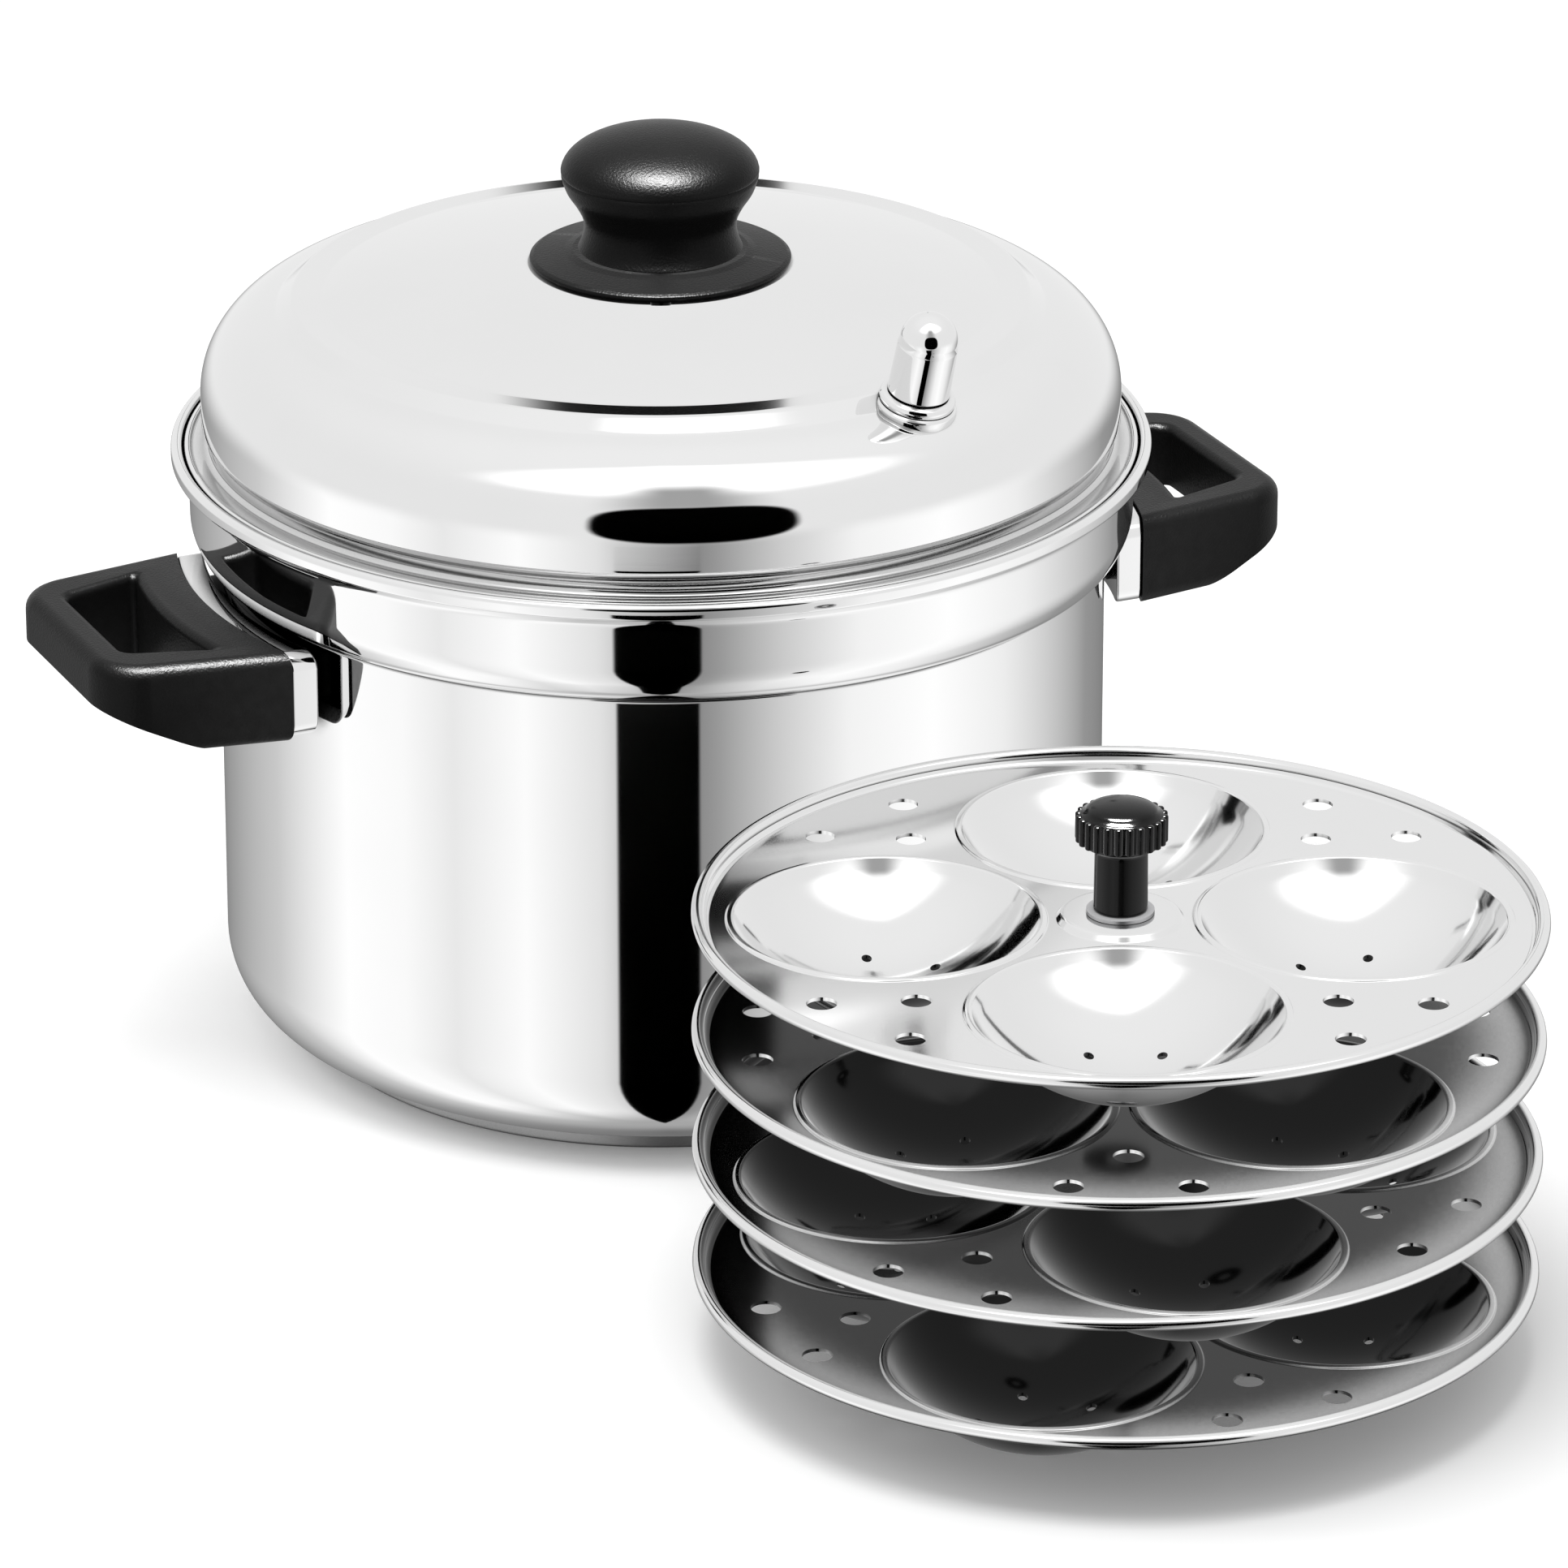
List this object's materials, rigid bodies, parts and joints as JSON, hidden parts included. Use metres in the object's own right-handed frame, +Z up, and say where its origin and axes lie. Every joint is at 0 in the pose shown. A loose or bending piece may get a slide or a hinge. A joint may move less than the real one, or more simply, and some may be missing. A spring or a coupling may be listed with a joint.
{
  "type": "idli steamer",
  "caption": "Round two-handled steel pot with a domed, knobbed, vented lid, beside its lift-out stack of round plates with shallow cups for steaming rice cakes",
  "frame": {"origin": "centre of the underside of the pot's base, where the pot stands on the hob", "axes": "+X along the right handle, +Z up the pot's axis, -Y towards the rack of plates, which stands beside the pot"},
  "size_m": [0.304, 0.4237, 0.2217],
  "materials": {
    "polished_steel": "mirror-polished stainless steel sheet",
    "bracket_steel": "plain welded steel",
    "base_aluminium": "plain aluminium core of the sandwich base",
    "handle_plastic": "black moulded heat-resistant plastic, fine satin grain",
    "nut_plastic": "glossy black moulded plastic",
    "gasket_rubber": "grey silicone",
    "insert_brass": "plain brass insert, moulded in"
  },
  "bodies": {
    "pot": {"pot_shell": "polished_steel", "base_core": "base_aluminium", "base_cap": "polished_steel", "right_bracket": "bracket_steel", "right_guard": "polished_steel", "right_grip": "handle_plastic", "right_screw": "polished_steel", "left_bracket": "bracket_steel", "left_guard": "polished_steel", "left_grip": "handle_plastic", "left_screw": "polished_steel"},
    "lid": {"lid_shell": "polished_steel", "knob_flange": "handle_plastic", "lid_knob": "handle_plastic", "knob_insert": "insert_brass", "knob_washer": "polished_steel", "knob_screw": "polished_steel", "vent_pipe": "polished_steel", "vent_gasket": "gasket_rubber", "vent_nut": "polished_steel"},
    "vent_cap": {"vent_cap": "polished_steel"},
    "rack": {"rack_rod": "polished_steel", "foot_nut": "polished_steel", "spacer_1": "polished_steel", "spacer_2": "polished_steel", "spacer_3": "polished_steel", "rack_washer": "polished_steel"},
    "plate_1": {"plate_1": "polished_steel"},
    "plate_2": {"plate_2": "polished_steel"},
    "plate_3": {"plate_3": "polished_steel"},
    "plate_4": {"plate_4": "polished_steel"},
    "thumb_nut": {"thumb_nut": "nut_plastic", "nut_insert": "insert_brass"}
  },
  "joints": [
    {"name": "lid_lift", "type": "slide", "parent": "pot", "child": "lid", "axis": [0, 0, 1], "range_m": [0, 0.12]},
    {"name": "vent_cap_lift", "type": "slide", "parent": "lid", "child": "vent_cap", "axis": [0.0702, -0.245, 0.967], "range_m": [0, 0.02]},
    {"name": "rack_lift", "type": "slide", "parent": "pot", "child": "rack", "axis": [0, 0, 1], "range_m": [0, 0.2]},
    {"name": "thumb_nut_turn", "type": "hinge", "parent": "rack", "child": "thumb_nut", "pos_m": [0.017, -0.21399, 0.112], "axis": [0, 0, 1], "continuous": true},
    {"name": "plate_1_turn", "type": "hinge", "parent": "rack", "child": "plate_1", "pos_m": [0.017, -0.21399, 0.0182], "axis": [0, 0, 1], "continuous": true},
    {"name": "plate_2_turn", "type": "hinge", "parent": "rack", "child": "plate_2", "pos_m": [0.017, -0.21399, 0.0462], "axis": [0, 0, 1], "continuous": true},
    {"name": "plate_3_turn", "type": "hinge", "parent": "rack", "child": "plate_3", "pos_m": [0.017, -0.21399, 0.0742], "axis": [0, 0, 1], "continuous": true},
    {"name": "plate_4_turn", "type": "hinge", "parent": "rack", "child": "plate_4", "pos_m": [0.017, -0.21399, 0.1022], "axis": [0, 0, 1], "continuous": true}
  ]
}
